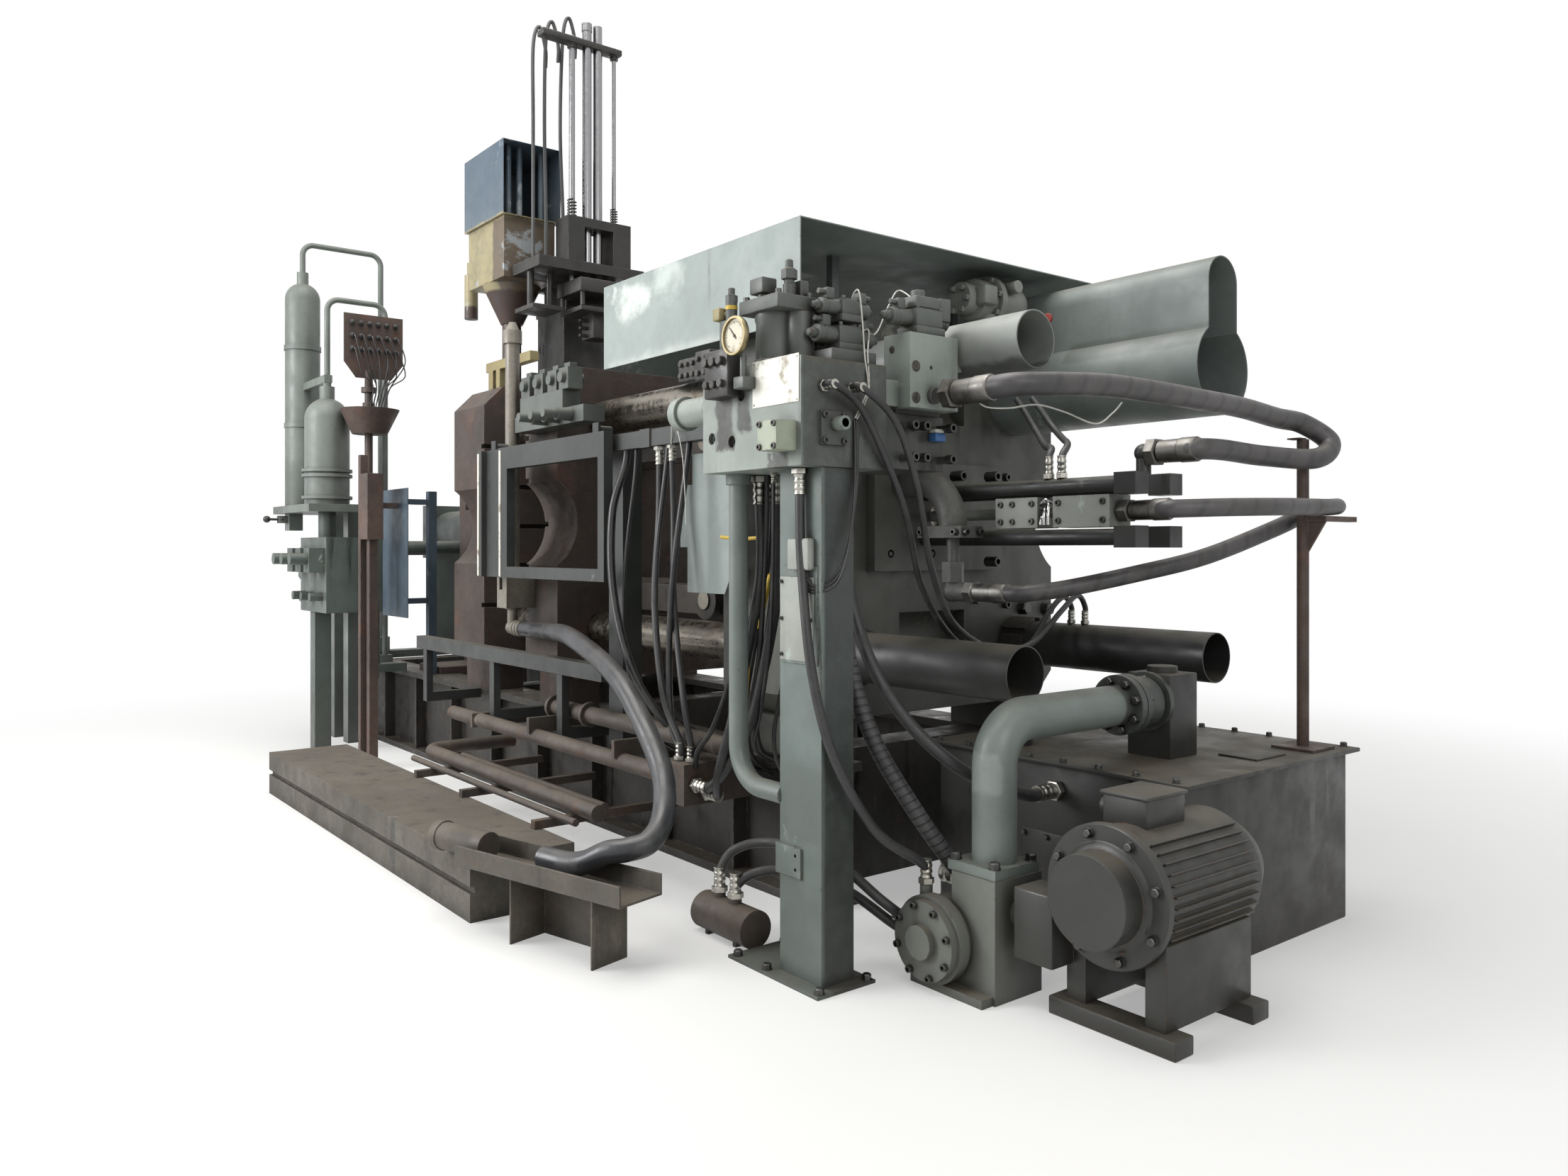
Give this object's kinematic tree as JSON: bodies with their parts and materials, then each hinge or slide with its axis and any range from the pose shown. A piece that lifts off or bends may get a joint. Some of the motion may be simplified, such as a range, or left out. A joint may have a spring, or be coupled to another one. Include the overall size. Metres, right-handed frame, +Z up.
{
  "type": "die casting machine",
  "caption": "Cold-chamber die casting machine with toggle clamp, tie bars, hydraulic blocks and hoses, accumulators, sliding guard and spray lift",
  "frame": {"origin": "on the floor, on the machine's axis, centre of the underside of the bed's middle cross member", "axes": "+X from the injection end to the rear of the clamp, +Y to the far side away from the operator, +Z up"},
  "size_m": [8.058, 3.191, 5.1708],
  "materials": {
    "grey_green_paint": "worn pale grey-green paint",
    "grey_casting": "oily grey casting",
    "brown_casting": "rust-brown casting",
    "dark_steel": "dark oily steel",
    "chrome": "hard chrome",
    "pale_block": "pale painted block",
    "rubber": "dusty black rubber",
    "rusty_steel": "rusty painted steel",
    "blue_grey_paint": "scuffed blue-grey paint",
    "concrete": "stained concrete",
    "yellow_paint": "faded pale yellow paint"
  },
  "bodies": {
    "machine": {"near_bed_beam": "dark_steel", "far_bed_beam": "dark_steel", "bed_cross_members": "dark_steel", "rear_platen": "grey_casting", "moving_platen": "brown_casting", "fixed_platen": "brown_casting", "tie_bars": "chrome", "tie_bar_nuts": "dark_steel", "rear_links": "brown_casting", "front_links": "brown_casting", "toggle_pins": "chrome", "crosshead": "brown_casting", "crosshead_guides": "chrome", "near_upper_cover": "grey_green_paint", "near_lower_cover": "dark_steel", "far_upper_cover": "grey_green_paint", "far_lower_cover": "dark_steel", "top_hood": "grey_green_paint", "ram_rods": "dark_steel", "ram_blocks": "pale_block", "manifold_column": "grey_green_paint", "near_manifold": "grey_green_paint", "rear_manifold": "grey_green_paint", "manifold_valves": "grey_casting", "prefill_valve": "grey_casting", "riser_pipe": "grey_casting", "green_pipe": "grey_green_paint", "column_hoses": "rubber", "valve_hoses": "rubber", "rear_hoses": "rubber", "hose_stand": "dark_steel", "drain_pipe": "pale_block", "drain_hose": "rubber", "drain_trough": "rusty_steel", "lower_pipes": "rusty_steel", "oil_tank": "dark_steel", "suction_pipe": "grey_green_paint", "pump": "grey_green_paint", "motor": "dark_steel", "shot_frame": "brown_casting", "shot_cylinder": "grey_green_paint", "accumulators": "grey_green_paint", "accumulator_pipes": "grey_green_paint", "injection_valves": "grey_green_paint", "wire_plate_post": "rusty_steel", "junction_boxes": "rusty_steel", "side_panel": "blue_grey_paint", "core_valves": "grey_casting", "yellow_bracket": "yellow_paint", "lift_base": "grey_casting", "air_tubes": "rubber", "lift_tower": "blue_grey_paint", "guard_rail": "dark_steel", "side_guard": "grey_green_paint", "plinth": "concrete"},
    "guard": {"guard_frame": "dark_steel"},
    "lift": {"spray_lift": "chrome"},
    "lever": {"valve_lever": "rubber"}
  },
  "joints": [
    {"name": "guard_slide", "type": "slide", "parent": "machine", "child": "guard", "axis": [-1, 0, 0], "range_m": [0, 0.65]},
    {"name": "spray_slide", "type": "slide", "parent": "machine", "child": "lift", "axis": [0, 0, -1], "range_m": [0, 0.95]},
    {"name": "lever_turn", "type": "hinge", "parent": "machine", "child": "lever", "pos_m": [-3.769, -1.445, 1.793], "axis": [1, 0, 0], "range_deg": [-25, 25]}
  ]
}
